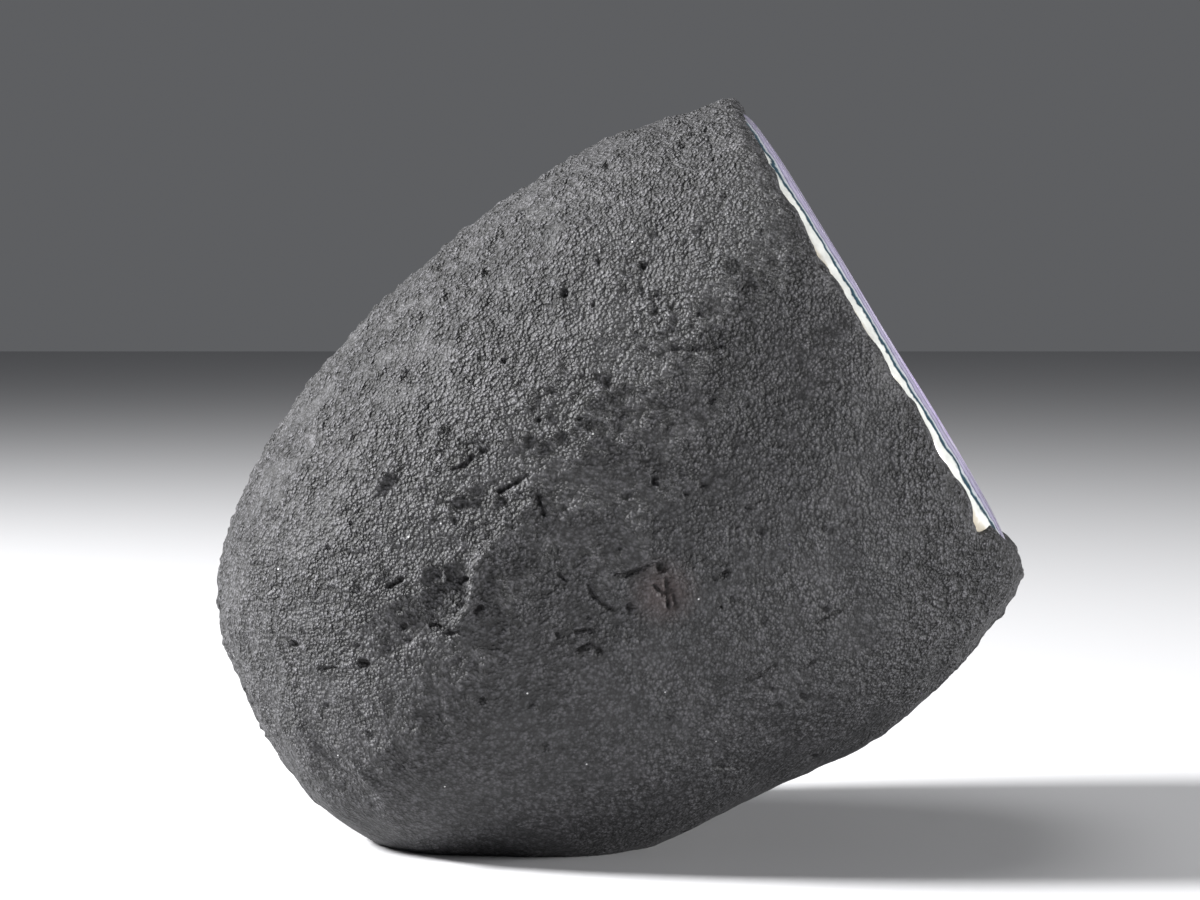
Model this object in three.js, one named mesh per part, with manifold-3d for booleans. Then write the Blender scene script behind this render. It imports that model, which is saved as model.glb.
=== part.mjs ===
import * as THREE from "three";
import { mergeVertices } from "three/addons/utils/BufferGeometryUtils.js";
import Module from "manifold-3d";

// An amethyst geode: an egg-shaped stone, cut across one end. A rough dark coating covers its back
// and underside. The cut is polished at the rim and opens into a hollow lined with crystals.
// Units are millimetres, +Z is up, and +X is the side that the cut looks to. The origin is the
// middle of the small flat that the geode stands on.

// The body, seen square on along +Y. Its outline is a radius every 15 degrees around bodyCentre,
// from +X towards +Z. The radii from 0 to 60 degrees lie past the cut, which takes that end off.
const bodyCentre = new THREE.Vector3(8, 0, 53);
const outlineRadii = [
  71, 76, 79, 77, 72, 58, 50.5, 45, 42, 41.5, 43, 46.5, 52.5, 58.5, 61, 63, 62.5, 59, 56.5, 53.5,
  52, 55, 59, 64,
];
const halfDepth = 43;
const boxiness = 2.4;

// The cut looks up by cutTilt, in degrees. A positive cutTurn turns it towards +Y.
const cutTilt = 31.5;
const cutTurn = -3.5;
const cutDistance = 48.2;
const rimSharpness = 32;

// The coating over the back, which stops short of the cut.
const coatThickness = 1.8;
const coatSetback = 3;
const coatLip = 0.6;
const seamGap = 0.3;

// The hollow's wall, as half lengths from hollowCentre: towards the back, towards the cut, across
// and along the cut. hollowShift moves it down the cut, to the middle of the rim.
const hollowSetback = 22.5;
const hollowShift = 3.8;
const hollowBack = 50;
const hollowFront = 66;
const hollowAcross = 32;
const hollowAlong = 34;
const hollowWaves = 0.035;

// The crystals grow from a layer of solid quartz on that wall, as far as the hollow's mouth.
const quartzThickness = 4.8;
const rootDepth = 2;
const crystalCount = 96;
const crystalSeed = 7;
const crystalFill = 1.35;
const crystalLengths = [8.5, 12.5];
const crystalLean = 0.22;
const mouthHeight = 0.62;

// The rings of points on each body, in degrees from the way that the cut looks. They lie closer
// together where the rim turns.
const ringsOut = [
  0, 18, 28, 33, 36, 38, 40, 42, 45, 50, 58, 68, 80, 93, 106, 119, 132, 145, 158, 169, 180,
];
const segmentsOut = 36;
const ringsIn = [0, 25, 40, 52, 64, 76, 88, 100, 112, 125, 138, 152, 166, 180];
const segmentsIn = 30;
const blockSize = 300;

const { degToRad, radToDeg, seededRandom } = THREE.MathUtils;

// The cut's own axes: out of it, across it and down it.
const outward = new THREE.Vector3(
  Math.cos(degToRad(cutTilt)) * Math.cos(degToRad(cutTurn)),
  Math.cos(degToRad(cutTilt)) * Math.sin(degToRad(cutTurn)),
  Math.sin(degToRad(cutTilt)),
);
const across = new THREE.Vector3(0, 1, 0).addScaledVector(outward, -outward.y).normalize();
const downward = across.clone().cross(outward);
const hollowCentre = bodyCentre
  .clone()
  .addScaledVector(outward, cutDistance - hollowSetback)
  .addScaledVector(downward, hollowShift);

const wasm = await Module();
wasm.setup();

// A smooth curve through the outline's radii, at any angle in degrees.
function outlineRadius(degrees) {
  const count = outlineRadii.length;
  const place = (((degrees % 360) + 360) % 360) * (count / 360);
  const start = Math.floor(place);
  const t = place - start;
  const [a, b, c, d] = [-1, 0, 1, 2].map((k) => outlineRadii[(start + k + count) % count]);
  const cubic = 3 * b - a - 3 * c + d;
  return b + 0.5 * ((c - a) * t + (2 * a - 5 * b + 4 * c - d) * t ** 2 + cubic * t ** 3);
}

// How far the body's side lies from bodyCentre in a direction, with the side moved in by inset.
function sideRadius(direction, inset) {
  const flat = Math.hypot(direction.x, direction.z);
  const outline = outlineRadius(radToDeg(Math.atan2(direction.z, direction.x))) - inset;
  const depth = halfDepth - inset;
  const power = (flat / outline) ** boxiness + (Math.abs(direction.y) / depth) ** boxiness;
  return power ** (-1 / boxiness);
}

// The same for the whole body, with its rim rounded where the side meets the cut.
function bodyRadius(direction, inset, cut) {
  const side = sideRadius(direction, inset);
  const facing = Math.max(direction.dot(outward), 0);
  return (side ** -rimSharpness + (facing / cut) ** rimSharpness) ** (-1 / rimSharpness);
}

// A direction from two numbers: how much it points out of the cut, and its turn around it.
function directionAt(out, turn) {
  const ring = Math.sqrt(1 - out * out);
  return outward
    .clone()
    .multiplyScalar(out)
    .addScaledVector(across, ring * Math.cos(turn))
    .addScaledVector(downward, ring * Math.sin(turn));
}

// How far the hollow's wall lies from hollowCentre, with slow waves so that it isn't a true oval.
function wallRadius(direction, inset) {
  const out = direction.dot(outward);
  const side = direction.dot(across);
  const down = direction.dot(downward);
  const depth = (out > 0 ? hollowFront : hollowBack) - inset;
  const oval = 1 / Math.hypot(out / depth, side / (hollowAcross - inset), down / (hollowAlong - inset));
  return oval * (1 + hollowWaves * (Math.sin(5 * side + 2 * out) + Math.sin(4 * down - 3 * out)));
}

// The way from the hollow's wall into the hollow, square to the wall.
function wallNormal(direction) {
  const out = direction.dot(outward);
  const depth = out > 0 ? hollowFront : hollowBack;
  return new THREE.Vector3()
    .addScaledVector(outward, -out / depth ** 2)
    .addScaledVector(across, -direction.dot(across) / hollowAcross ** 2)
    .addScaledVector(downward, -direction.dot(downward) / hollowAlong ** 2)
    .normalize();
}

// A closed shape around a centre: a sphere whose rings of points are moved out to radiusAt.
function starShape(centre, rings, segments, radiusAt) {
  const ball = new THREE.SphereGeometry(1, segments, rings.length - 1);
  const places = ball.getAttribute("position");
  for (let i = 0; i < places.count; i++) {
    const ring = Math.floor(i / (segments + 1));
    const step = (i % (segments + 1)) % segments;
    const turn = (-2 * Math.PI * step) / segments;
    const direction = directionAt(Math.cos(degToRad(rings[ring])), turn);
    const point = direction.clone().multiplyScalar(radiusAt(direction)).add(centre);
    places.setXYZ(i, point.x, point.y, point.z);
  }
  return ball;
}

function solidOf(geometry) {
  const bare = geometry.clone();
  bare.deleteAttribute("normal");
  bare.deleteAttribute("uv");
  const merged = mergeVertices(bare, 1e-3);
  return new wasm.Manifold(
    new wasm.Mesh({
      numProp: 3,
      vertProperties: new Float32Array(merged.getAttribute("position").array),
      triVerts: new Uint32Array(merged.index.array),
    }),
  );
}

function geometryOf(solid) {
  const mesh = solid.getMesh();
  const geometry = new THREE.BufferGeometry();
  geometry.setAttribute("position", new THREE.BufferAttribute(mesh.vertProperties.slice(), 3));
  geometry.setIndex(new THREE.BufferAttribute(mesh.triVerts.slice(), 1));
  geometry.computeVertexNormals();
  return geometry;
}

// A block that takes off all that lies past a point in a direction.
function blockPast(point, direction) {
  const block = new THREE.BoxGeometry(blockSize, blockSize, blockSize);
  block.translate(0, blockSize / 2, 0);
  block.applyQuaternion(turnTo(direction));
  return solidOf(block.translate(point.x, point.y, point.z));
}

function turnTo(direction) {
  return new THREE.Quaternion().setFromUnitVectors(new THREE.Vector3(0, 1, 0), direction);
}

// The body moved in by inset, with the flat underneath cut at that height.
function bodySolid(inset, cut) {
  const shape = starShape(bodyCentre, ringsOut, segmentsOut, (d) => bodyRadius(d, inset, cut));
  const flat = blockPast(new THREE.Vector3(0, 0, inset), new THREE.Vector3(0, 0, -1));
  return solidOf(shape).subtract(flat);
}

function hollowSolid(inset) {
  return solidOf(starShape(hollowCentre, ringsIn, segmentsIn, (d) => wallRadius(d, inset)));
}

// A six-sided pyramid with its root at the origin, pointing along +Y.
function crystalShape(radius, length) {
  const profile = [
    new THREE.Vector2(0, 0),
    new THREE.Vector2(radius, 0),
    new THREE.Vector2(0, length),
  ];
  return new THREE.LatheGeometry(profile, 6);
}

// One crystal, rooted in the quartz layer and leaning a little its own way. Its radius fills its
// share of the wall, so that neighbours grow into each other.
function crystalOnWall(direction, share) {
  const vary = () => 2 * seededRandom() - 1;
  const inward = wallNormal(direction);
  const wall = wallRadius(direction, seamGap);
  const area = (share * wall ** 2) / -inward.dot(direction);
  const radius = crystalFill * Math.sqrt(area / Math.PI) * (1 + 0.2 * vary());
  const length = THREE.MathUtils.lerp(...crystalLengths, seededRandom());
  const lean = new THREE.Vector3(vary(), vary(), vary()).multiplyScalar(crystalLean);
  const crystal = crystalShape(radius, length).rotateY(seededRandom() * Math.PI);
  crystal.applyQuaternion(turnTo(inward.add(lean).normalize()));
  const root = hollowCentre.clone().addScaledVector(direction, wall - rootDepth);
  return solidOf(crystal.translate(root.x, root.y, root.z));
}

// Crystals spread evenly over the hollow's wall along a spiral.
function crystalSolids() {
  const goldenTurn = Math.PI * (3 - Math.sqrt(5));
  const height = 1 + mouthHeight;
  seededRandom(crystalSeed);
  return Array.from({ length: crystalCount }, (_, i) => {
    const out = -1 + ((i + 0.5) / crystalCount) * height;
    return crystalOnWall(directionAt(out, i * goldenTurn), (2 * Math.PI * height) / crystalCount);
  });
}

function backCoating() {
  const cover = bodySolid(0, cutDistance + coatLip);
  const inside = bodySolid(coatThickness, cutDistance + seamGap);
  const edge = bodyCentre.clone().addScaledVector(outward, cutDistance - coatSetback);
  return cover.subtract(inside).subtract(blockPast(edge, outward));
}

function stone() {
  return bodySolid(coatThickness + seamGap, cutDistance);
}

function agateRind() {
  return stone().subtract(hollowSolid(0));
}

// The quartz layer and its crystals are one growth. It ends flush with the polished cut.
function amethystCrystals() {
  const layer = hollowSolid(seamGap).subtract(hollowSolid(quartzThickness));
  const grown = crystalSolids().reduce((joined, crystal) => joined.add(crystal), layer);
  return grown.intersect(hollowSolid(seamGap)).intersect(stone());
}

function node(name, solid, colour, roughness) {
  const material = new THREE.MeshStandardMaterial({ color: colour, roughness, metalness: 0 });
  const mesh = new THREE.Mesh(geometryOf(solid), material);
  mesh.name = name;
  return mesh;
}

const geode = new THREE.Group();
geode.add(node("back_coating", backCoating(), 0x424144, 0.92));
geode.add(node("agate_rind", agateRind(), 0xd9dcd2, 0.25));
geode.add(node("amethyst_crystals", amethystCrystals(), 0x7b55a6, 0.1));

export default geode;
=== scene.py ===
# An amethyst geode that stands on its coated underside, seen from behind its cut face. The dark
# sanded coat, the polished banded rim and the crystals in the hollow are meshes made here, around
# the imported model. Lengths are in millimetres unless a comment says otherwise.
import math

import bmesh
import bpy
import numpy as np
from mathutils import Matrix, Vector


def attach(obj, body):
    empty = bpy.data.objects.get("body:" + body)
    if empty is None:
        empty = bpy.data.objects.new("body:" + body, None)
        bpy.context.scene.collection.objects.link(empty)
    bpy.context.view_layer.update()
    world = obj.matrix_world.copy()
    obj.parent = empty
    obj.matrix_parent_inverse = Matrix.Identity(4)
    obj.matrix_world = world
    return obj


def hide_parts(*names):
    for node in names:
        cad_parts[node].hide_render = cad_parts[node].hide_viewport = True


MM = 0.001

# The body: a radius every 15 degrees around its centre, from +X towards +Z, and its half depth.
BODY_CENTRE = np.array([8.0, 0.0, 53.0])
OUTLINE_RADII = np.array([
    71, 76, 79, 77, 72, 58, 50.5, 45, 42, 41.5, 43, 46.5, 52.5, 58.5, 61, 63, 62.5, 59, 56.5,
    53.5, 52, 55, 59, 64,
])
HALF_DEPTH = 43.0
BOXINESS = 2.4

# The cut: its tilt and turn in degrees, its distance from the centre, and how sharply the coat's
# and the stone's sides turn into it.
CUT_TILT = 31.5
CUT_TURN = -3.5
CUT_DISTANCE = 48.2
COAT_SHARPNESS = 32.0
STONE_SHARPNESS = 22.0

# The coat over the stone, and how far its outer shape would stand out of the cut.
COAT_THICKNESS = 2.0
COAT_LIP = 0.3

# The hollow's wall, as half lengths towards the back, towards the cut, across and along the cut.
HOLLOW_SETBACK = 22.5
HOLLOW_SHIFT = 3.8
HOLLOW_BACK = 50.0
HOLLOW_FRONT = 66.0
HOLLOW_ACROSS = 32.0
HOLLOW_ALONG = 34.0
HOLLOW_WAVES = 0.035
QUARTZ_THICKNESS = 3.6

# The photograph's camera: its focal length and its aim.
PHOTO_SIZE = (1200, 900)
FOCAL_PIXELS = 3300.0
SENSOR_WIDTH = 36.0
CAMERA_PITCH = 3.1
CAMERA_DISTANCE = 495.0
CAMERA_TARGET = np.array([8.25, 0.0, 57.9])

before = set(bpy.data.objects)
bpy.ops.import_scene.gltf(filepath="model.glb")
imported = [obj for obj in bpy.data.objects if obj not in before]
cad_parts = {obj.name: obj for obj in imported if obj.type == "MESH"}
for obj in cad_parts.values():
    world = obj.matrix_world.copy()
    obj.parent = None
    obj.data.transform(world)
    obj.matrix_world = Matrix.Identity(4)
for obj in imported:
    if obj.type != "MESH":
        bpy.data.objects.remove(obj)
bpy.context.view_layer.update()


# Directions

# How many decimals two directions share when they are the same.
SAME_DECIMALS = 6


def unit(vectors):
    return vectors / np.linalg.norm(vectors, axis=-1, keepdims=True)


def turned_axes():
    """The cut's own axes: out of it, across it and down it."""
    tilt, turn = math.radians(CUT_TILT), math.radians(CUT_TURN)
    out = np.array([
        math.cos(tilt) * math.cos(turn),
        math.cos(tilt) * math.sin(turn),
        math.sin(tilt),
    ])
    side = unit(np.array([0.0, 1.0, 0.0]) - out * out[1])
    return out, side, np.cross(side, out)


OUT, ACROSS, DOWN = turned_axes()
HOLLOW_CENTRE = BODY_CENTRE + OUT * (CUT_DISTANCE - HOLLOW_SETBACK) + DOWN * HOLLOW_SHIFT


def even_turns(count):
    return np.arange(count) / count * 2 * math.pi


def around_cut(turns):
    """Directions that lie in the cut, from their turns."""
    return np.cos(turns)[:, None] * ACROSS + np.sin(turns)[:, None] * DOWN


def even_directions(parts):
    """Directions spread evenly over a sphere, and the triangles between them: an icosahedron
    whose edges are each divided into a number of parts."""
    ball = bmesh.new()
    bmesh.ops.create_icosphere(ball, subdivisions=1, radius=1)
    corners = np.array([[v.co[:] for v in face.verts] for face in ball.faces])
    ball.free()
    i, j = np.array([(i, j) for i in range(parts + 1) for j in range(parts + 1 - i)]).T
    weights = np.stack([parts - i - j, i, j], axis=1) / parts
    index = {(a, b): k for k, (a, b) in enumerate(zip(i, j))}
    up = [(index[a, b], index[a + 1, b], index[a, b + 1]) for a, b in index if a + b < parts]
    down = [
        (index[a + 1, b], index[a + 1, b + 1], index[a, b + 1])
        for a, b in index if a + b < parts - 1
    ]
    pattern = np.array(up + down)
    points = unit(np.einsum("pc,fcx->fpx", weights, corners)).reshape(-1, 3)
    faces = (np.arange(len(corners))[:, None, None] * len(i) + pattern).reshape(-1, 3)
    # Corners that neighbouring faces share become one.
    _, first, inverse = np.unique(
        np.round(points, SAME_DECIMALS), axis=0, return_index=True, return_inverse=True
    )
    return points[first], inverse.reshape(-1)[faces]


def ringed_directions(rings, segments):
    """Directions on rings around the way out of the cut, and the faces between them. The rings
    are angles in radians, one for each segment or one for all."""
    bends = np.array([np.broadcast_to(ring, segments) for ring in rings])
    around = around_cut(even_turns(segments))
    points = np.cos(bends)[..., None] * OUT + np.sin(bends)[..., None] * around
    points = np.concatenate([OUT[None], points.reshape(-1, 3), -OUT[None]])
    last = len(points) - 1
    step = np.arange(segments)
    after = (step + 1) % segments
    faces = [(0, 1 + b, 1 + a) for a, b in zip(step, after)]
    for ring in range(len(rings) - 1):
        low, high = 1 + ring * segments, 1 + (ring + 1) * segments
        for a, b in zip(step, after):
            faces.append((low + a, high + b, high + a))
            faces.append((low + a, low + b, high + b))
    base = 1 + (len(rings) - 1) * segments
    faces += [(base + a, base + b, last) for a, b in zip(step, after)]
    return points, np.array(faces)


# Noise

NOISE_SEED = 11
NOISE_GAIN = 1.7
TABLE_SIZE = 4096
SEED_STEP = 17
HASH_FACTORS = np.array([73856093, 19349663, 83492791])
HASH_SHIFT = 7


def noise_tables():
    """The random slopes and offsets that each cell of the noise picks from."""
    random = np.random.default_rng(NOISE_SEED)
    return unit(random.normal(size=(TABLE_SIZE, 3))), random.random((TABLE_SIZE, 3))


SLOPES, OFFSETS = noise_tables()


def table_place(cells, seed):
    x, y, z = ((cells + seed * SEED_STEP) * HASH_FACTORS).T
    mixed = x ^ y ^ z
    return ((mixed >> HASH_SHIFT) ^ mixed) % TABLE_SIZE


def noise(points, size, seed):
    """Smooth noise from about -1 to 1, with bumps about as wide as size."""
    scaled = points / size
    cells = np.floor(scaled).astype(np.int64)
    local = scaled - cells
    fade = local ** 3 * (local * (local * 6 - 15) + 10)
    total = np.zeros(len(points))
    for corner in np.ndindex(2, 2, 2):
        slope = SLOPES[table_place(cells + corner, seed)]
        weight = np.where(corner, fade, 1 - fade).prod(axis=1)
        total += weight * ((local - corner) * slope).sum(axis=1)
    return NOISE_GAIN * total


def layered_noise(points, layers):
    """Noise in layers, each given by its height, its size and its seed."""
    return sum(height * noise(points, size, seed) for height, size, seed in layers)


def grain_distance(points, size, seed):
    """How far each point is from the nearest of the grains scattered about size apart, in sizes."""
    scaled = points / size
    cells = np.floor(scaled).astype(np.int64)
    nearest = np.full(len(points), np.inf)
    for step in np.ndindex(3, 3, 3):
        near = cells + step - 1
        centre = near + OFFSETS[table_place(near, seed)]
        nearest = np.minimum(nearest, ((scaled - centre) ** 2).sum(axis=1))
    return np.sqrt(nearest)


def smooth_step(low, high, values):
    """0 below low, 1 above high, and a soft rise between them."""
    t = np.clip((values - low) / (high - low), 0, 1)
    return t * t * (3 - 2 * t)


# The body's shape

# Slow waves in the cut, polished by hand, as layers of noise.
POLISH_WAVES = [(0.25, 16, 1)]

# The most that skin_depth lets a direction face the cut, so that depths there don't shrink to 0.
MOST_FACING = 0.9


def outline_radius(degrees):
    """A smooth curve through the outline's radii."""
    count = len(OUTLINE_RADII)
    place = (degrees % 360) * count / 360
    start = np.floor(place).astype(int)
    t = place - start
    a, b, c, d = (OUTLINE_RADII[(start + k) % count] for k in (-1, 0, 1, 2))
    cubic = 3 * b - a - 3 * c + d
    return b + 0.5 * ((c - a) * t + (2 * a - 5 * b + 4 * c - d) * t ** 2 + cubic * t ** 3)


def side_radius(directions, inset):
    """How far the body's side lies from its centre, with the side moved in by inset."""
    flat = np.hypot(directions[:, 0], directions[:, 2])
    angle = np.degrees(np.arctan2(directions[:, 2], directions[:, 0]))
    outline = outline_radius(angle) - inset
    depth = HALF_DEPTH - inset
    power = (flat / outline) ** BOXINESS + (abs(directions[:, 1]) / depth) ** BOXINESS
    return power ** (-1 / BOXINESS)


def body_radius(directions, inset, cut, sharpness):
    """The same for the whole body, with its rim rounded where the side meets the cut."""
    side = side_radius(directions, inset)
    facing = np.maximum(directions @ OUT, 0)
    return (side ** -sharpness + (facing / cut) ** sharpness) ** (-1 / sharpness)


def above_floor(directions, radii, height):
    """The radii, cut back to a flat at a height over the floor."""
    drop = np.maximum(-directions[:, 2], 1e-6)
    return np.minimum(radii, (BODY_CENTRE[2] - height) / drop)


def stone_radius(directions):
    """The polished stone under the coat."""
    cut = CUT_DISTANCE + layered_noise(directions * CUT_DISTANCE, POLISH_WAVES)
    return body_radius(directions, COAT_THICKNESS, cut, STONE_SHARPNESS)


def coat_cover(directions):
    """The coat's smooth outer radius, and the places on it, before any roughness."""
    radii = body_radius(directions, 0, CUT_DISTANCE + COAT_LIP, COAT_SHARPNESS)
    return radii, BODY_CENTRE + directions * radii[:, None]


def skin_depth(places):
    """How deep a point of the stone lies under the stone's own uncut skin."""
    offset = places - BODY_CENTRE
    distance = np.linalg.norm(offset, axis=1)
    directions = offset / distance[:, None]
    facing = np.clip(directions @ OUT, -1, 1)
    slant = np.sqrt(1 - np.minimum(facing, MOST_FACING) ** 2)
    return (side_radius(directions, COAT_THICKNESS) - distance) * slant


def wall_radius(directions, inset):
    """How far the hollow's wall lies from its centre, with the wall moved in by inset."""
    out, side, down = directions @ OUT, directions @ ACROSS, directions @ DOWN
    depth = np.where(out > 0, HOLLOW_FRONT, HOLLOW_BACK) - inset
    oval = 1 / np.sqrt(
        (out / depth) ** 2
        + (side / (HOLLOW_ACROSS - inset)) ** 2
        + (down / (HOLLOW_ALONG - inset)) ** 2
    )
    return oval * (1 + HOLLOW_WAVES * (np.sin(5 * side + 2 * out) + np.sin(4 * down - 3 * out)))


def wall_inward(directions):
    """The way from the hollow's wall into the hollow, square to the wall."""
    out = directions @ OUT
    depth = np.where(out > 0, HOLLOW_FRONT, HOLLOW_BACK)
    return unit(
        -out[:, None] * OUT / depth[:, None] ** 2
        - (directions @ ACROSS)[:, None] * ACROSS / HOLLOW_ACROSS ** 2
        - (directions @ DOWN)[:, None] * DOWN / HOLLOW_ALONG ** 2
    )


# Meshes

def add_object(name, data):
    made = bpy.data.objects.new(name, data)
    bpy.context.scene.collection.objects.link(made)
    return made


def new_object(name, points, faces):
    mesh = bpy.data.meshes.new(name)
    mesh.from_pydata((points * MM).tolist(), [], faces.tolist())
    return add_object(name, mesh)


def carve(target, tool, operation):
    """Joins, cuts or keeps the overlap of two closed meshes, and drops the second one."""
    modifier = target.modifiers.new(operation, "BOOLEAN")
    modifier.operation = operation
    modifier.solver = "MANIFOLD"
    modifier.object = tool
    whole = bpy.context.evaluated_depsgraph_get()
    carved = bpy.data.meshes.new_from_object(target.evaluated_get(whole))
    target.modifiers.clear()
    old = target.data
    target.data = carved
    bpy.data.meshes.remove(old)
    bpy.data.objects.remove(tool)


def keep_largest(piece):
    """Drops loose crumbs that a cut leaves."""
    mesh = bmesh.new()
    mesh.from_mesh(piece.data)
    left = set(mesh.verts)
    groups = []
    while left:
        front = [left.pop()]
        group = list(front)
        while front:
            near = {e.other_vert(v) for v in front for e in v.link_edges} & left
            left -= near
            front = list(near)
            group += front
        groups.append(group)
    groups.sort(key=len)
    bmesh.ops.delete(mesh, geom=[v for g in groups[:-1] for v in g], context="VERTS")
    mesh.to_mesh(piece.data)
    mesh.free()


def places_of(piece):
    places = np.empty(len(piece.data.vertices) * 3)
    piece.data.vertices.foreach_get("co", places)
    return places.reshape(-1, 3) / MM


def paint(piece, name, values):
    """Stores a number at each vertex, for the material to read."""
    layer = piece.data.attributes.new(name, "FLOAT", "POINT")
    layer.data.foreach_set("value", np.asarray(values, dtype=np.float32))


def shade(piece, sharp_degrees):
    """Shades a piece smoothly, but for the edges that bend by more than an angle."""
    piece.data.shade_smooth()
    piece.data.set_sharp_from_angle(angle=math.radians(sharp_degrees))


def dress(piece, node, material):
    """Finishes a piece that stands for a node of the model."""
    piece.data.materials.clear()
    piece.data.materials.append(material)
    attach(piece, "root")
    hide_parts(node)


# The camera and what it saw

# Where a line of sight is searched for the body, from the camera: the start, the end and the step.
SIGHT_RANGE = (380.0, 560.0, 0.1)


def camera_frame():
    """The camera's place, and its right, up and forward directions."""
    pitch = math.radians(CAMERA_PITCH)
    forward = np.array([0.0, math.cos(pitch), -math.sin(pitch)])
    up = np.array([0.0, math.sin(pitch), math.cos(pitch)])
    return CAMERA_TARGET - forward * CAMERA_DISTANCE, np.array([1.0, 0.0, 0.0]), up, forward


def seen_at(pixel):
    """The place on the body that the camera sees at a pixel of the photograph."""
    place, right, up, forward = camera_frame()
    x = (pixel[0] - PHOTO_SIZE[0] / 2) / FOCAL_PIXELS
    y = (PHOTO_SIZE[1] / 2 - pixel[1]) / FOCAL_PIXELS
    ray = unit(forward + right * x + up * y)
    along = place + ray * np.arange(*SIGHT_RANGE)[:, None]
    offset = along - BODY_CENTRE
    distance = np.linalg.norm(offset, axis=1)
    inside = distance < body_radius(unit(offset), 0, CUT_DISTANCE, COAT_SHARPNESS)
    if not inside.any():
        raise ValueError(f"the photograph shows no part of the geode at {pixel}")
    return along[inside.argmax()]


def add_camera():
    place, right, up, forward = camera_frame()
    data = bpy.data.cameras.new("camera")
    data.sensor_width = SENSOR_WIDTH
    data.lens = FOCAL_PIXELS / PHOTO_SIZE[0] * SENSOR_WIDTH
    camera = add_object("camera", data)
    turn = Matrix([right, up, -forward]).transposed().to_4x4()
    camera.matrix_world = Matrix.Translation(Vector(place * MM)) @ turn
    bpy.context.scene.camera = camera


# Nodes for materials

# The places of a Mix node's factor and two colours among its inputs, and of its mixed colour.
MIX_INPUTS = (0, 6, 7)
MIX_RESULT = 2


def new_material(name):
    material = bpy.data.materials.new(name)
    material.use_nodes = True
    return material, material.node_tree.nodes["Principled BSDF"]


def add_node(material, kind, **settings):
    made = material.node_tree.nodes.new(kind)
    for name, value in settings.items():
        setattr(made, name, value)
    return made


def link(material, start, end):
    material.node_tree.links.new(start, end)


def feed(material, value, socket):
    """Gives a socket what another socket puts out, or a plain colour or number."""
    if isinstance(value, bpy.types.NodeSocket):
        link(material, value, socket)
    elif isinstance(value, tuple):
        socket.default_value = (*value, 1)
    else:
        socket.default_value = value


def places_in_mm(material):
    """The point being shaded, in millimetres."""
    coordinates = add_node(material, "ShaderNodeTexCoord")
    mapping = add_node(material, "ShaderNodeMapping")
    mapping.inputs["Scale"].default_value = (1 / MM, 1 / MM, 1 / MM)
    link(material, coordinates.outputs["Object"], mapping.inputs["Vector"])
    return mapping.outputs["Vector"]


def noise_node(material, places, scale, detail=2.0, roughness=0.5):
    texture = add_node(material, "ShaderNodeTexNoise")
    texture.inputs["Scale"].default_value = scale
    texture.inputs["Detail"].default_value = detail
    texture.inputs["Roughness"].default_value = roughness
    link(material, places, texture.inputs["Vector"])
    return texture.outputs["Fac"]


def wave_node(material, places, height, scale, detail=2.0, roughness=0.5):
    """Noise from about half its height below 0 to half its height above."""
    wave = noise_node(material, places, scale, detail, roughness)
    return math_node(material, "MULTIPLY_ADD", wave, height, -height / 2)


def grain_node(material, places, scale):
    """Round grains, scale of them to a millimetre."""
    texture = add_node(material, "ShaderNodeTexVoronoi")
    texture.inputs["Scale"].default_value = scale
    link(material, places, texture.inputs["Vector"])
    return texture


def rare_grains(material, places, scale, radius, share):
    """1 inside a small ball in a share of the grains, and 0 elsewhere."""
    texture = grain_node(material, places, scale)
    split = add_node(material, "ShaderNodeSeparateColor")
    link(material, texture.outputs["Color"], split.inputs[0])
    chosen = math_node(material, "LESS_THAN", split.outputs[0], share)
    near = math_node(material, "LESS_THAN", texture.outputs["Distance"], radius)
    return math_node(material, "MULTIPLY", near, chosen)


def grey(value):
    return (value, value, value)


def ramp_node(material, value, stops):
    """Turns a number into a colour. The stops are (place, (red, green, blue))."""
    ramp = add_node(material, "ShaderNodeValToRGB")
    elements = ramp.color_ramp.elements
    while len(elements) < len(stops):
        elements.new(0.5)
    for element, (place, colour) in zip(elements, stops):
        element.position = place
        element.color = (*colour, 1)
    link(material, value, ramp.inputs["Fac"])
    return ramp.outputs["Color"]


def mix_node(material, factor, first, second, blend="MIX"):
    mix = add_node(material, "ShaderNodeMix", data_type="RGBA", blend_type=blend)
    for number, value in zip(MIX_INPUTS, (factor, first, second)):
        feed(material, value, mix.inputs[number])
    return mix.outputs[MIX_RESULT]


def math_node(material, operation, *values):
    made = add_node(material, "ShaderNodeMath", operation=operation)
    for value, socket in zip(values, made.inputs):
        feed(material, value, socket)
    return made.outputs[0]


def attribute_node(material, name):
    return add_node(material, "ShaderNodeAttribute", attribute_name=name).outputs["Fac"]


def bump_node(material, height, distance):
    bump = add_node(material, "ShaderNodeBump")
    bump.inputs["Distance"].default_value = distance * MM
    link(material, height, bump.inputs["Height"])
    return bump.outputs["Normal"]


# The materials

# The coat's fine grain: each layer's scale, per millimetre, and its share in the height.
COARSE_SCALE = 1.1
COARSE_SHARE = -0.65
FINE_SCALE = 2.2
FINE_SHARE = -0.7
GRIT_SCALE = 1.4
GRIT_SHARE = 1.0
CLOD_SCALE = 0.6
CLOD_SHARE = 0.5
GRAIN_BASE = 0.36
BUMP_DISTANCE = 0.8

# Pinholes, painted dark as shade, and bright specks: how many cells to a millimetre, a radius and a
# share of the cells.
PINHOLES = (1.3, 0.17, 0.02)
PINHOLE_HEIGHT = -0.8
SPECKS = (1.1, 0.14, 0.004)
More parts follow.
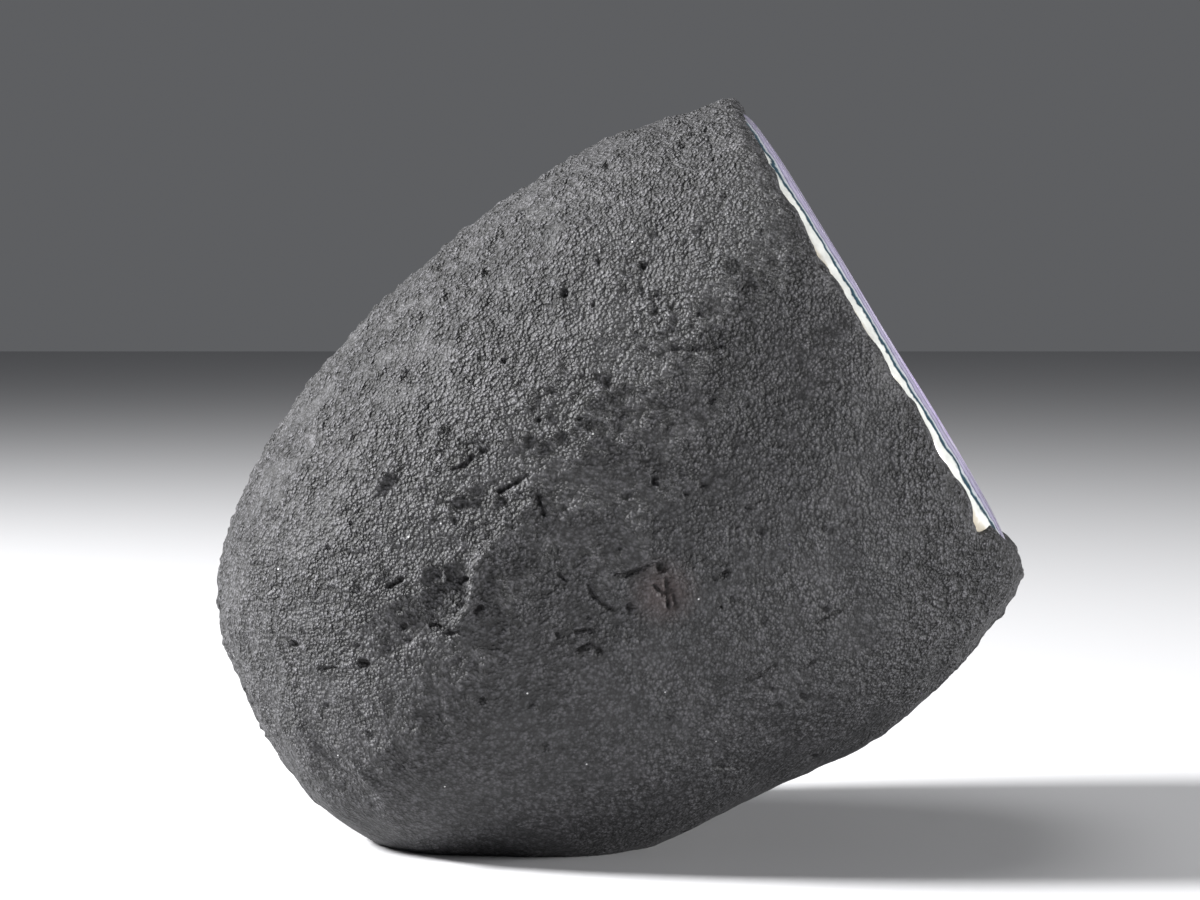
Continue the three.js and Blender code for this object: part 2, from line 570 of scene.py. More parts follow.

# The coat's greys over slow patches, how much painted shade darkens them between its grains and
# painted highlight lightens them on its grains, and its roughness without and with a bright speck.
TONE_SCALE = 0.12
TONES = [(0.3, (0.025, 0.025, 0.027)), (0.7, (0.041, 0.040, 0.043))]
SMOOTH_PAINTED_SHADE_AND_HIGHLIGHT = [(0.2, grey(0.4)), (0.5, grey(0.9)), (0.8, grey(1.7))]
SANDY_PAINTED_SHADE_AND_HIGHLIGHT = [(0.2, grey(0.05)), (0.5, grey(1.0)), (0.8, grey(3.2))]
RUST_COLOUR = (0.075, 0.048, 0.045)
# Painted shade: the near black that the floors of pits, cracks and pinholes are painted.
PIT_PAINTED_SHADE = (0.006, 0.005, 0.005)
SPECK_COLOUR = (0.6, 0.6, 0.6)
COAT_ROUGHNESS = [(0.0, grey(0.6)), (1.0, grey(0.25))]


def coat_height(material, places):
    """The coat's fine grain, as heights around 0.5: round grains of two sizes, grit and clods."""
    coarse = grain_node(material, places, COARSE_SCALE).outputs["Distance"]
    fine = grain_node(material, places, FINE_SCALE).outputs["Distance"]
    grit = noise_node(material, places, GRIT_SCALE, detail=3.0, roughness=0.7)
    clods = noise_node(material, places, CLOD_SCALE, detail=2.0, roughness=0.6)
    height = math_node(material, "MULTIPLY_ADD", coarse, COARSE_SHARE, GRAIN_BASE)
    height = math_node(material, "MULTIPLY_ADD", fine, FINE_SHARE, height)
    height = math_node(material, "MULTIPLY_ADD", grit, GRIT_SHARE, height)
    return math_node(material, "MULTIPLY_ADD", clods, CLOD_SHARE, height)


def coat_grey_with_painted_light(material, places, height, sandy):
    """The cement's grey in slow patches, with painted shade between its grains and painted
    highlights on them, stronger where the coat is sandy.
    """
    patches = noise_node(material, places, TONE_SCALE, detail=4, roughness=0.6)
    tone = ramp_node(material, patches, TONES)
    smooth_painted_light = ramp_node(material, height, SMOOTH_PAINTED_SHADE_AND_HIGHLIGHT)
    sandy_painted_light = ramp_node(material, height, SANDY_PAINTED_SHADE_AND_HIGHLIGHT)
    painted_light = mix_node(material, sandy, smooth_painted_light, sandy_painted_light)
    return mix_node(material, 1.0, tone, painted_light, "MULTIPLY")


def coat_material():
    """Dark grey cement with sand in it, with painted shade in its pits and between its grains and
    painted highlights on its grains.
    """
    material, shader = new_material("sanded_coat")
    places = places_in_mm(material)
    sandy = attribute_node(material, "sandy")
    height = coat_height(material, places)
    pinholes = rare_grains(material, places, *PINHOLES)
    specks = rare_grains(material, places, *SPECKS)
    # Painted shade: pits, cracks and pinholes are darkened to near black where shade falls in them.
    hollow = math_node(material, "MAXIMUM", attribute_node(material, "hollow"), pinholes)
    # The grey carries painted shade between the grains and painted highlights on their tops.
    colour = coat_grey_with_painted_light(material, places, height, sandy)
    colour = mix_node(material, attribute_node(material, "rust"), colour, RUST_COLOUR)
    colour = mix_node(material, hollow, colour, PIT_PAINTED_SHADE)
    colour = mix_node(material, specks, colour, SPECK_COLOUR)
    link(material, colour, shader.inputs["Base Color"])
    link(material, ramp_node(material, specks, COAT_ROUGHNESS), shader.inputs["Roughness"])
    bumps = math_node(material, "MULTIPLY", height, sandy)
    bumps = math_node(material, "MULTIPLY_ADD", pinholes, PINHOLE_HEIGHT, bumps)
    link(material, bump_node(material, bumps, BUMP_DISTANCE), shader.inputs["Normal"])
    return material


# The agate's bands, by their depth under the stone's skin, and the waves and ripples in them.
AGATE_BANDS = [
    (0.00, (0.30, 0.23, 0.15)),
    (0.55, (0.50, 0.46, 0.38)),
    (0.70, (0.66, 0.66, 0.63)),
    (1.05, (0.62, 0.64, 0.61)),
    (1.14, (0.02, 0.04, 0.06)),
    (1.34, (0.03, 0.07, 0.09)),
    (1.42, (0.38, 0.41, 0.43)),
    (1.62, (0.42, 0.41, 0.48)),
    (1.70, (0.06, 0.07, 0.11)),
    (1.78, (0.30, 0.27, 0.40)),
    (2.20, (0.40, 0.37, 0.48)),
    (2.65, (0.22, 0.18, 0.34)),
    (2.75, (0.62, 0.60, 0.67)),
    (3.10, (0.34, 0.29, 0.46)),
    (3.60, (0.21, 0.16, 0.34)),
    (3.75, (0.60, 0.58, 0.65)),
    (4.30, (0.37, 0.33, 0.48)),
    (4.90, (0.50, 0.48, 0.55)),
    (5.00, (0.08, 0.09, 0.13)),
    (5.12, (0.46, 0.46, 0.50)),
    (5.80, (0.62, 0.61, 0.65)),
    (5.95, (0.26, 0.22, 0.36)),
    (6.80, (0.48, 0.44, 0.57)),
    (6.90, (0.68, 0.67, 0.70)),
    (8.00, (0.38, 0.32, 0.50)),
]
BAND_DEPTH = 8.0
BAND_WAVE = 0.9
BAND_RIPPLE = 0.16
AGATE_CLOUDS = [(0.3, grey(0.82)), (0.7, grey(1.08))]
QUARTZ_CLOUDS = [(0.25, (0.40, 0.30, 0.58)), (0.7, (0.70, 0.66, 0.80))]


def agate_material():
    """Banded chalcedony, polished. The bands follow the depth under the stone's own skin."""
    material, shader = new_material("banded_agate")
    places = places_in_mm(material)
    wave = wave_node(material, places, BAND_WAVE, scale=0.22, detail=3, roughness=0.6)
    ripple = wave_node(material, places, BAND_RIPPLE, scale=1.5)
    depth = math_node(material, "ADD", attribute_node(material, "depth"), wave)
    depth = math_node(material, "ADD", depth, ripple)
    share = math_node(material, "DIVIDE", depth, BAND_DEPTH)
    bands = ramp_node(material, share, [(place / BAND_DEPTH, tint) for place, tint in AGATE_BANDS])
    cloud = noise_node(material, places, scale=0.5, detail=3)
    cloud = ramp_node(material, cloud, AGATE_CLOUDS)
    colour = mix_node(material, 1.0, bands, cloud, "MULTIPLY")
    link(material, colour, shader.inputs["Base Color"])
    shader.inputs["Roughness"].default_value = 0.14
    return material


def quartz_material():
    """The milky layer that the crystals grow from."""
    material, shader = new_material("milky_quartz")
    places = places_in_mm(material)
    cloud = noise_node(material, places, scale=0.4, detail=4, roughness=0.6)
    link(material, ramp_node(material, cloud, QUARTZ_CLOUDS), shader.inputs["Base Color"])
    shader.inputs["Roughness"].default_value = 0.2
    return material


def amethyst_material():
    """Violet quartz, clear but for a faint cloud."""
    material, shader = new_material("amethyst")
    shader.inputs["Base Color"].default_value = (0.70, 0.50, 0.88, 1)
    shader.inputs["Roughness"].default_value = 0.02
    shader.inputs["IOR"].default_value = 1.544
    shader.inputs["Transmission Weight"].default_value = 0.85
    absorption = add_node(material, "ShaderNodeVolumeAbsorption")
    absorption.inputs["Color"].default_value = (0.62, 0.18, 0.80, 1)
    absorption.inputs["Density"].default_value = 85.0
    output = material.node_tree.nodes["Material Output"]
    link(material, absorption.outputs["Volume"], output.inputs["Volume"])
    return material


# The stone

# How finely the stone is divided: rings over its face, rings over its side, and segments around.
FINE_RINGS = (40, 60, 240)
PLAIN_RINGS = (24, 24, 160)
COARSE_RINGS = (8, 24, 90)
HOLLOW_RINGS = 70
HOLLOW_SEGMENTS = 120

# Where the rim is searched for, in degrees from the way out of the cut: start, end and step.
RIM_RANGE = (15, 75, 0.25)
RIM_CROWDING = 1.8

# The gap between the rind and the quartz, and the lumps on the quartz layer as layers of noise.
SEAM_GAP = 0.02
QUARTZ_LUMPS = [(0.5, 5, 20)]


def rim_rings(count_face, count_side, segments):
    """Ring angles from the middle of the cut to the back, close together at the rim."""
    bends = np.radians(np.arange(*RIM_RANGE))
    rim = np.empty(segments)
    for k, sideways in enumerate(around_cut(even_turns(segments))):
        directions = np.cos(bends)[:, None] * OUT + np.sin(bends)[:, None] * sideways
        over = side_radius(directions, COAT_THICKNESS) < CUT_DISTANCE / (directions @ OUT)
        rim[k] = bends[over.argmax()]
    face = 1 - (1 - np.arange(1, count_face + 1) / count_face) ** RIM_CROWDING
    side = (np.arange(1, count_side) / count_side) ** RIM_CROWDING
    return [rim * share for share in face] + [rim + (math.pi - rim) * share for share in side]


def stone_body(name, fineness, sunk=0.0):
    """The whole stone before it is hollowed, or a shape sunk a little under its surface."""
    face_rings, side_rings, segments = fineness
    rings = rim_rings(face_rings, side_rings, segments)
    directions, faces = ringed_directions(rings, segments)
    radii = above_floor(directions, stone_radius(directions), COAT_THICKNESS) - sunk
    return new_object(name, BODY_CENTRE + directions * radii[:, None], faces)


def hollow_body(name, inset, lumps=()):
    """The hollow as a closed shape, its wall moved in by inset and made uneven by lumps."""
    rings = [math.pi * k / HOLLOW_RINGS for k in range(1, HOLLOW_RINGS)]
    directions, faces = ringed_directions(rings, HOLLOW_SEGMENTS)
    radii = wall_radius(directions, inset)
    places = HOLLOW_CENTRE + directions * radii[:, None]
    radii += layered_noise(places, lumps)
    return new_object(name, HOLLOW_CENTRE + directions * radii[:, None], faces)


def build_rind():
    rind = stone_body("agate_rind_polished", FINE_RINGS)
    carve(rind, hollow_body("hollow", 0.0), "DIFFERENCE")
    shade(rind, sharp_degrees=50)
    paint(rind, "depth", skin_depth(places_of(rind)))
    dress(rind, "agate_rind", agate_material())


def build_quartz():
    """The milky layer on the hollow's wall, cut and polished with the rim."""
    quartz = hollow_body("milky_quartz_layer", SEAM_GAP)
    carve(quartz, hollow_body("inside", QUARTZ_THICKNESS, QUARTZ_LUMPS), "DIFFERENCE")
    carve(quartz, stone_body("front", PLAIN_RINGS), "INTERSECT")
    shade(quartz, sharp_degrees=40)
    dress(quartz, "amethyst_crystals", quartz_material())


# Marks in the coat

# What the photograph shows in the coat, by its pixels: pits as (radius, depth), and bent lines.
PITS = {
    (685, 144): (0.8, 0.6), (714, 159): (0.5, 0.5), (727, 196): (0.6, 0.5), (405, 378): (1.0, 0.7),
    (399, 392): (0.7, 0.6), (825, 263): (0.8, 0.9), (365, 664): (0.8, 0.9), (774, 691): (0.4, 0.5),
    (545, 749): (0.4, 0.5), (473, 769): (0.4, 0.4), (962, 491): (0.4, 0.6), (915, 413): (1.4, 0.6),
    (486, 270): (0.7, 0.7), (495, 255): (0.6, 0.5), (505, 288): (0.4, 0.6), (448, 297): (0.9, 0.6),
    (421, 317): (0.8, 0.5), (331, 551): (0.6, 0.6), (566, 293): (0.5, 0.7), (600, 262): (0.6, 0.5),
    (722, 607): (0.3, 0.6), (304, 635): (0.5, 0.4), (992, 528): (0.7, 1.0), (660, 566): (0.8, 0.8),
    (588, 617): (0.4, 0.7), (598, 650): (0.6, 0.6), (236, 573): (0.6, 0.5), (402, 628): (0.5, 0.7),
    (594, 305): (0.4, 0.5), (302, 451): (0.5, 0.5), (462, 342): (0.5, 0.5), (828, 612): (0.7, 0.8),
}
CRACKS = [
    [(615, 575), (626, 574), (640, 569), (652, 563), (664, 564)],
    [(654, 585), (662, 594), (672, 590), (676, 604)],
    [(666, 578), (668, 606)],
    [(723, 574), (733, 567)],
    [(575, 632), (592, 630)],
    [(576, 651), (590, 644), (602, 652)],
    [(820, 625), (831, 616), (842, 612)],
    [(389, 587), (397, 583), (404, 578)],
    [(431, 626), (442, 628), (452, 634), (460, 630)],
    [(450, 578), (462, 580), (470, 577)],
    [(475, 610), (482, 606)],
    [(745, 682), (760, 676), (776, 667)],
    [(801, 672), (815, 664)],
    [(559, 574), (564, 580)],
]
RIDGES = [
    [(500, 541), (489, 554), (476, 571), (474, 590), (473, 603), (466, 613), (457, 624)],
    [(394, 462), (388, 476), (378, 490)],
    [(293, 718), (305, 735), (317, 751)],
    [(344, 745), (360, 765), (377, 784)],
]
CHIPPED = [
    [(404, 632), (436, 612), (458, 594)],
    [(470, 520), (480, 510), (492, 505)],
    [(324, 757), (345, 775), (362, 792)],
]
LUMPS = [[(254, 697)], [(262, 712)], [(392, 330)], [(700, 215)]]
WORN_CORNER = [(700, 108), (742, 112)]
WHITE_CHIP = (990, 512)
RUST_SPOT = (664, 592)

# Half widths and depths of what the lines stand for. A negative depth stands out of the coat.
CRACK_PROFILE = (0.27, 0.7)
RIDGE_PROFILE = (0.9, -0.65)
CHIPPED_PROFILE = (3.4, 0.6)
LUMP_PROFILE = (2.2, -0.6)
WORN_PROFILE = (8.0, 1.3)

# Marks scattered over the rest of the coat, where a direction faces the cut by less than
# MARKS_FACING. A crack takes a few steps over a ball of radius 1, and bends at each.
SCATTER_SEED = 31
MARKS_FACING = 0.6
PIT_COUNT = 220
PIT_RADII = (0.25, 0.7)
PIT_DEPTHS = (0.3, 0.6)
CRACK_COUNT = 40
CRACK_CORNERS = 4
CRACK_STEP = 0.016
CRACK_BEND = 0.009
CRACK_RADII = (0.2, 0.3)
CRACK_DEPTHS = (0.4, 0.6)

# A mark's profile, in its half widths: how ragged it is, where its floor ends and its edge lies.
MARK_WAVES = [(1.0, 1.3, 16)]
MARK_RAGGED = 0.5
MARK_FLOOR = 0.2
MARK_EDGE = 1.5


def on_cover(direction):
    return coat_cover(direction[None])[1][0]


def crack_line(direction, random):
    """The corners of a short bent crack that starts in a direction."""
    heading = unit(np.cross(direction, random.normal(size=3))) * CRACK_STEP
    line = []
    while direction @ OUT < MARKS_FACING and len(line) < CRACK_CORNERS:
        line.append(on_cover(direction))
        heading = heading + random.normal(size=3) * CRACK_BEND
        direction = unit(direction + heading)
    return line


def scattered_marks():
    """Pits and cracks like those in the photograph, all over the coat."""
    random = np.random.default_rng(SCATTER_SEED)
    marks = []
    for direction in unit(random.normal(size=(PIT_COUNT, 3))):
        if direction @ OUT < MARKS_FACING:
            place = on_cover(direction)[None]
            marks.append((place, random.uniform(*PIT_RADII), random.uniform(*PIT_DEPTHS)))
    for direction in unit(random.normal(size=(CRACK_COUNT, 3))):
        line = crack_line(direction, random)
        if len(line) > 1:
            corners = np.array(line)
            marks.append((corners, random.uniform(*CRACK_RADII), random.uniform(*CRACK_DEPTHS)))
    return marks


def seen_marks(lines, profile):
    """Marks along lines through pixels of the photograph."""
    return [(np.array([seen_at(pixel) for pixel in line]), *profile) for line in lines]


def sharp_marks():
    """Every pit and crack, as the corners of a line, its half width and its depth."""
    pits = [(seen_at(pixel)[None], *profile) for pixel, profile in PITS.items()]
    return scattered_marks() + pits + seen_marks(CRACKS, CRACK_PROFILE)


def soft_marks():
    """The ridges, chipped hollows, lumps and the worn corner, in the same form."""
    ridges = seen_marks(RIDGES, RIDGE_PROFILE)
    chipped = seen_marks(CHIPPED, CHIPPED_PROFILE)
    lumps = seen_marks(LUMPS, LUMP_PROFILE)
    return ridges + chipped + lumps + seen_marks([WORN_CORNER], WORN_PROFILE)


def line_distance(points, corners):
    """How far each point is from a line through the corners."""
    distance = np.linalg.norm(points - corners[0], axis=1)
    for start, end in zip(corners[:-1], corners[1:]):
        along = np.clip((points - start) @ (end - start) / ((end - start) @ (end - start)), 0, 1)
        nearest = start + along[:, None] * (end - start)
        distance = np.minimum(distance, np.linalg.norm(points - nearest, axis=1))
    return distance


def mark_depth(points, marks):
    """How deep the marks go at each point. The deepest counts where marks meet."""
    ragged = layered_noise(points, MARK_WAVES)
    depth = np.zeros(len(points))
    for corners, radius, deep in marks:
        reach = np.ptp(corners, axis=0).max() + 2 * radius
        near = np.flatnonzero(abs(points - corners.mean(axis=0)).max(axis=1) < reach)
        distance = line_distance(points[near], corners) + MARK_RAGGED * radius * ragged[near]
        share = 1 - smooth_step(MARK_FLOOR * radius, MARK_EDGE * radius, distance)
        depth[near] = np.where(share * abs(deep) > abs(depth[near]), share * deep, depth[near])
    return depth


# The coat

# How finely the coat is divided: parts along an icosahedron's edge, how unevenly its corners are
# set in parts, how often it is divided again at marks, and the depth that counts as a mark.
COAT_PARTS = 94
JITTER_SEED = 3
JITTER = 0.2
MARK_DIVISIONS = 2
LEAST_MARK = 0.02

# Where the coat is sandy: towards its upper left and at its lower corner, with smooth patches.
SANDY_WAY = unit(np.array([-0.75, 0.0, 0.66]))
SANDY_RISE = (-20, 22)
SANDY_WAVES = [(9.0, 14, 5)]
CORNER_RISE = (42, 60)
LEAST_SANDY = 0.35
PATCH_WAVES = [(1.0, 6, 18), (0.6, 2.4, 19)]
PATCH_RISE = (-0.45, 0.15)
PATCH_SHARE = 0.5

# The coat's relief, as layers of noise, small steps, and round grains of sand.
COAT_LUMPS = [(0.50, 24, 6), (0.32, 9, 7)]
COAT_CLODS = [(0.26, 4.2, 8)]
SCARP_WAVES = [(1.0, 15, 17)]
SCARP_RISE = (-0.08, 0.08)
SCARP_HEIGHT = 0.20
SMOOTH_SHARE = 0.4
SAND_WAVES = [(0.40, 1.6, 10)]
SAND_SPACING = 2.0
SAND_SEED = 9
SAND_RADIUS = 0.6
SAND_HEIGHT = 0.42

# The coat's edge: how far behind the cut it lies, how it wavers, the run over which it thins, and
# how it dives under the stone's surface. It reaches further forward below and above the cut, and
# the white chip sets it back.
EDGE_BEHIND_CUT = 0.7
EDGE_WAVES = [(0.5, 9, 14), (0.25, 2.5, 15)]
EDGE_RUN = 1.2
EDGE_DIVE = 1.2
REACH_BELOW = 4.5
BELOW_RISE = (0.5, 0.72)
REACH_ABOVE = 2.0
ABOVE_RISE = (0.4, 0.7)
CHIP_DEPTH = 5.5
CHIP_FALL = (1.2, 4.2)

# The coat's least thickness, and how far it sinks into the stone's surface.
THINNEST_COAT = 0.25
COAT_OVERLAP = 0.4

# Where a mark's floor is painted dark as shade, by its depth, and the rust's share and reach.
PIT_PAINTED_SHADE_RISE = (0.2, 0.9)
RUST_SHARE = 0.4
RUST_FALL = (1, 6)


def finer_near(directions, faces, marks):
    """Divides the triangles that touch a mark, so that its edge is crisp."""
    mesh = bmesh.new()
    corners = [mesh.verts.new(direction) for direction in directions]
    for face in faces:
        mesh.faces.new([corners[k] for k in face])
    for _ in range(MARK_DIVISIONS):
        mesh.verts.ensure_lookup_table()
        points = coat_cover(unit(np.array([v.co[:] for v in mesh.verts])))[1]
        marked = abs(mark_depth(points, marks)) > LEAST_MARK
        edges = [e for e in mesh.edges if marked[e.verts[0].index] or marked[e.verts[1].index]]
        bmesh.ops.subdivide_edges(mesh, edges=edges, cuts=1, use_grid_fill=True)
        bmesh.ops.triangulate(mesh, faces=[f for f in mesh.faces if len(f.verts) > 3])
        mesh.verts.index_update()
    directions = unit(np.array([v.co[:] for v in mesh.verts]))
    faces = np.array([[v.index for v in f.verts] for f in mesh.faces])
    mesh.free()
    return directions, faces


def coat_directions(marks):
    """Directions all over the coat, a little uneven, and the triangles between them."""
    parts = COAT_PARTS
    directions, faces = even_directions(parts)
    jitter = np.random.default_rng(JITTER_SEED).normal(size=directions.shape)
    return finer_near(unit(directions + jitter * JITTER / parts), faces, marks)


def sandiness(points):
    """How sandy the coat is, from 0 to 1."""
    slope = (points - BODY_CENTRE) @ SANDY_WAY
    side = smooth_step(*SANDY_RISE, slope + layered_noise(points, SANDY_WAVES))
    corner = smooth_step(*CORNER_RISE, points[:, 0])
    patches = smooth_step(*PATCH_RISE, layered_noise(points, PATCH_WAVES))
    sandy = LEAST_SANDY + (1 - LEAST_SANDY) * np.maximum(side, corner)
    return sandy * (PATCH_SHARE + (1 - PATCH_SHARE) * patches)


def coat_relief(points):
    """How far the coat stands out of its smooth shape: slow lumps, then scarps, clods and sand."""
    sandy = sandiness(points)
    rise = smooth_step(*SCARP_RISE, layered_noise(points, SCARP_WAVES))
    scarps = SCARP_HEIGHT * rise - SCARP_HEIGHT / 2
    clods = layered_noise(points, COAT_CLODS)
    distance = grain_distance(points, SAND_SPACING, SAND_SEED)
    dome = np.clip(1 - (distance / SAND_RADIUS) ** 2, 0, 1)
    sand = SAND_HEIGHT * dome + layered_noise(points, SAND_WAVES)
    rough = (scarps + clods) * (SMOOTH_SHARE + (1 - SMOOTH_SHARE) * sandy)
    return layered_noise(points, COAT_LUMPS) + rough + sand * sandy ** 2


def edge_place(points):
    """How far behind the cut the coat's ragged edge lies, all around and at its chip."""
    lean = unit(points - BODY_CENTRE) @ DOWN
    edge = EDGE_BEHIND_CUT - REACH_BELOW * smooth_step(*BELOW_RISE, lean)
    edge = edge - REACH_ABOVE * smooth_step(*ABOVE_RISE, -lean)
    edge = edge + layered_noise(points, EDGE_WAVES)
    chip = np.linalg.norm(points - seen_at(WHITE_CHIP), axis=1)
    return edge + CHIP_DEPTH * (1 - smooth_step(*CHIP_FALL, chip))


def coat_fade(points):
    """1 on the back, falling to 0 at the coat's ragged edge and below it past the edge."""
    behind = CUT_DISTANCE - (points - BODY_CENTRE) @ OUT - np.maximum(skin_depth(points), 0)
    run = (behind - edge_place(points)) / EDGE_RUN
    return np.where(run > 0, 1 - np.exp(-np.maximum(run, 0)), EDGE_DIVE * run)


def coat_radii(directions, marks):
    """The coat's outside, down to the floor, with its relief and marks. Past the coat's edge it
    dives into the stone."""
    cover, points = coat_cover(directions)
    relief = coat_relief(points) - mark_depth(points, marks) - mark_depth(points, soft_marks())
    fade = coat_fade(points)
    stone = stone_radius(directions)
    thickness = np.maximum(cover - stone + relief, THINNEST_COAT)
    radii = np.where(fade > 0, stone + thickness * fade, stone + fade)
    return above_floor(directions, radii, 0)


def paint_coat(coat, marks):
    """Where the coat is pitted (its pits and cracks painted dark as shade), sandy and rusty, for
    its material.
    """
    places = places_of(coat)
    onto = coat_cover(unit(places - BODY_CENTRE))[1]
    from_rust = np.linalg.norm(places - seen_at(RUST_SPOT), axis=1)
    # The painted shade in pits and cracks, deeper marks darker.
    paint(coat, "hollow", smooth_step(*PIT_PAINTED_SHADE_RISE, mark_depth(onto, marks)))
    paint(coat, "sandy", sandiness(onto))
    paint(coat, "rust", RUST_SHARE * (1 - smooth_step(*RUST_FALL, from_rust)))


def build_coat():
    marks = sharp_marks()
    directions, faces = coat_directions(marks)
    radii = coat_radii(directions, marks)
    coat = new_object("sanded_coat", BODY_CENTRE + directions * radii[:, None], faces)
    carve(coat, stone_body("inside_coat", COARSE_RINGS, sunk=COAT_OVERLAP), "DIFFERENCE")
    keep_largest(coat)
    coat.data.shade_smooth()
    paint_coat(coat, marks)
    dress(coat, "back_coating", coat_material())


# The crystals

# Large crystals, then small ones between them: how many, the turn at which their spiral starts,
# and their least and greatest radius.
CRYSTAL_SETS = [(360, 2.5, 2.5, 4.0), (440, 1.3, 1.3, 2.3)]
CRYSTAL_SEED = 21
MOUTH_HEIGHT = 0.66
FAR_END_CROWDING = 1.3
CRYSTAL_SCATTER = 0.035
CRYSTAL_LEAN = 0.144

# One crystal: the tilt of its end faces, its root's depth in the quartz layer, and its height
# from its radius and a rise of its own.
FACE_TILT = math.radians(51.8)
ROOT_DEPTH = 2.2
HEIGHT_PER_RADIUS = 1.25
CROWN_RISE = (1.2, 4.2)

# How far its sides and its end faces move out or in, in radii, and how many radii of room it
# gets in a group.
SIDE_SHARES = (0.82, 1.12)
SMALL_END_SHARES = (0.05, 0.45)
END_SHARES = (0, 0.16)
WIDTH_SHARE = 1.15

# Planes that meet at less than this are taken as parallel. A corner may lie this far outside a
# plane, and is rounded to this many decimals.
LEAST_MEETING = 1e-4
PLANE_SLACK = 1e-6
CORNER_DECIMALS = 5

# How far the crystals stay inside the hollow's wall and behind the polished cut.
WALL_INSET = 0.6
BEHIND_POLISH = 0.05


def crystal_planes(radius, height, random):
    """The planes of one quartz crystal: six sides, and six end faces in two unequal threes."""
    turns = np.radians(np.arange(0, 360, 60))
    sides = np.stack([np.cos(turns), np.sin(turns), 0 * turns], axis=1)
    ends = math.sin(FACE_TILT) * sides + [0, 0, math.cos(FACE_TILT)]
    spread = np.tile([0.0, random.uniform(*SMALL_END_SHARES)], 3) + random.uniform(*END_SHARES, 6)
    reach = height * math.cos(FACE_TILT) + radius * (spread - spread.min())
    normals = np.concatenate([sides, ends, [[0, 0, -1]]])
    distances = np.concatenate([radius * random.uniform(*SIDE_SHARES, 6), reach, [0.0]])
    return normals, distances


def crystal_corners(normals, distances):
    """The corners of the solid that lies inside every plane."""
    picks = np.array([
        (a, b, c)
        for a in range(len(normals)) for b in range(a) for c in range(b)
    ])
    sets = normals[picks]
    solvable = abs(np.linalg.det(sets)) > LEAST_MEETING
    meets = np.linalg.solve(sets[solvable], distances[picks[solvable]][..., None])[..., 0]
    inside = (meets @ normals.T <= distances + PLANE_SLACK).all(axis=1)
    return np.unique(np.round(meets[inside], CORNER_DECIMALS), axis=0)


def spiral_directions(count, start):
    """Directions spread over the hollow's wall as far as its mouth, closer at its far end. Each
    is turned from the one before by the golden angle."""
    step = np.arange(count) + 0.5
    out = -1 + (step / count) ** FAR_END_CROWDING * (1 + MOUTH_HEIGHT)
    turns = step * math.pi * (3 - math.sqrt(5)) + start
    return out[:, None] * OUT + np.sqrt(1 - out ** 2)[:, None] * around_cut(turns)


def grown_crystal(root, way, smallest, largest, random):
    """One crystal that grows from a root, as its middle, its reach from there and its corners."""
    radius = random.uniform(smallest, largest)
    buried = QUARTZ_THICKNESS - ROOT_DEPTH
    height = buried + HEIGHT_PER_RADIUS * radius + random.uniform(*CROWN_RISE)
    corners = crystal_corners(*crystal_planes(radius, height, random))
    turn = Vector((0, 0, 1)).rotation_difference(Vector(way)).to_matrix()
    turn = turn @ Matrix.Rotation(random.uniform(0, math.pi), 3, "Z")
    reach = math.hypot(height / 2, WIDTH_SHARE * radius)
    return root + way * height / 2, reach, root + corners @ np.array(turn).T


def grown_crystals():
    """All the crystals, each a little off its place on a spiral and leaning its own way."""
    random = np.random.default_rng(CRYSTAL_SEED)
    crystals = []
    for count, start, smallest, largest in CRYSTAL_SETS:
        off = random.normal(0, CRYSTAL_SCATTER, (count, 3))
        directions = unit(spiral_directions(count, start) + off)
        roots = HOLLOW_CENTRE + directions * wall_radius(directions, ROOT_DEPTH)[:, None]
        ways = unit(wall_inward(directions) + random.normal(0, CRYSTAL_LEAN, (count, 3)))
        for root, way in zip(roots, ways):
            crystals.append(grown_crystal(root, way, smallest, largest, random))
    return crystals


def separate_groups(crystals):
    """Sorts the crystals into groups in which none touches another."""
    middles = np.array([middle for middle, _, _ in crystals])
    reach = np.array([reach for _, reach, _ in crystals])
    groups = []
    for k in range(len(crystals)):
        for group in groups:
            apart = np.linalg.norm(middles[group] - middles[k], axis=1)
            if (apart > reach[group] + reach[k]).all():
                group.append(k)
                break
        else:
            groups.append([k])
    return [[crystals[k] for k in group] for group in groups]


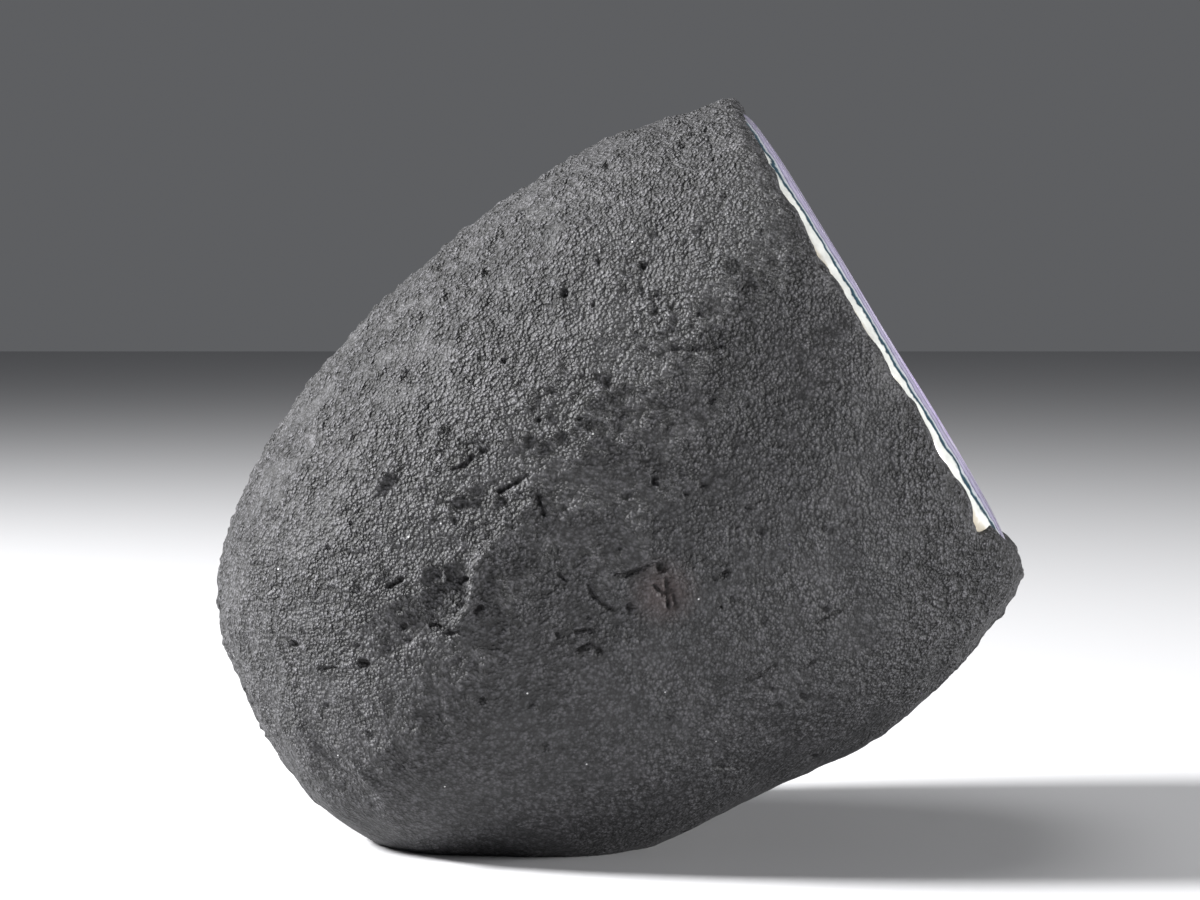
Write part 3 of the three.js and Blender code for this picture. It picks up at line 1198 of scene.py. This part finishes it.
def crystal_mesh(name, crystals):
    """One mesh of several crystals that don't touch."""
    mesh = bmesh.new()
    for _, _, corners in crystals:
        verts = [mesh.verts.new(corner * MM) for corner in corners]
        bmesh.ops.convex_hull(mesh, input=verts)
    bmesh.ops.recalc_face_normals(mesh, faces=mesh.faces)
    data = bpy.data.meshes.new(name)
    mesh.to_mesh(data)
    mesh.free()
    return add_object(name, data)


def build_crystals():
    first, *others = separate_groups(grown_crystals())
    points = crystal_mesh("amethyst_points", first)
    for group in others:
        carve(points, crystal_mesh("more_points", group), "UNION")
    carve(points, hollow_body("wall", WALL_INSET), "INTERSECT")
    carve(points, stone_body("front", PLAIN_RINGS, sunk=BEHIND_POLISH), "INTERSECT")
    dress(points, "amethyst_crystals", amethyst_material())


# The studio

FLOOR_REACH = 3000.0

# Each light's place and size in metres, and its power in watts.
LIGHTS = {
    "key": ((-0.79, -0.04, 0.54), 0.18, 32.0),
    "top": ((-0.20, 0.10, 0.95), 0.60, 4.0),
    "right": ((0.88, -0.20, 0.18), 0.40, 11.0),
}


def floor_material():
    material, shader = new_material("pale_floor")
    shader.inputs["Base Color"].default_value = (0.50, 0.50, 0.51, 1)
    shader.inputs["Roughness"].default_value = 0.8
    return material


def add_floor():
    corners = FLOOR_REACH * np.array([(-1, -1, 0), (1, -1, 0), (1, 1, 0), (-1, 1, 0)])
    floor = new_object("floor", corners, np.array([(0, 1, 2, 3)]))
    floor.data.materials.append(floor_material())


def add_light(name, place, size, power):
    """A round lamp that shines on the body's middle."""
    data = bpy.data.lights.new(name, "AREA")
    data.shape = "DISK"
    data.size = size
    data.energy = power
    aim = Vector(BODY_CENTRE * MM) - Vector(place)
    turn = aim.to_track_quat("-Z", "Y").to_matrix().to_4x4()
    add_object(name, data).matrix_world = Matrix.Translation(place) @ turn


def add_world():
    world = bpy.data.worlds.new("studio")
    world.use_nodes = True
    background = world.node_tree.nodes["Background"]
    background.inputs["Color"].default_value = (0.93, 0.95, 1.0, 1)
    background.inputs["Strength"].default_value = 0.12
    bpy.context.scene.world = world


def show_plain_colours():
    """Shows light and dark as they are, without a film's soft curve."""
    bpy.context.scene.view_settings.view_transform = "Standard"


add_camera()
add_world()
show_plain_colours()
for light_name, settings in LIGHTS.items():
    add_light(light_name, *settings)
add_floor()
build_rind()
build_coat()
build_quartz()
build_crystals()
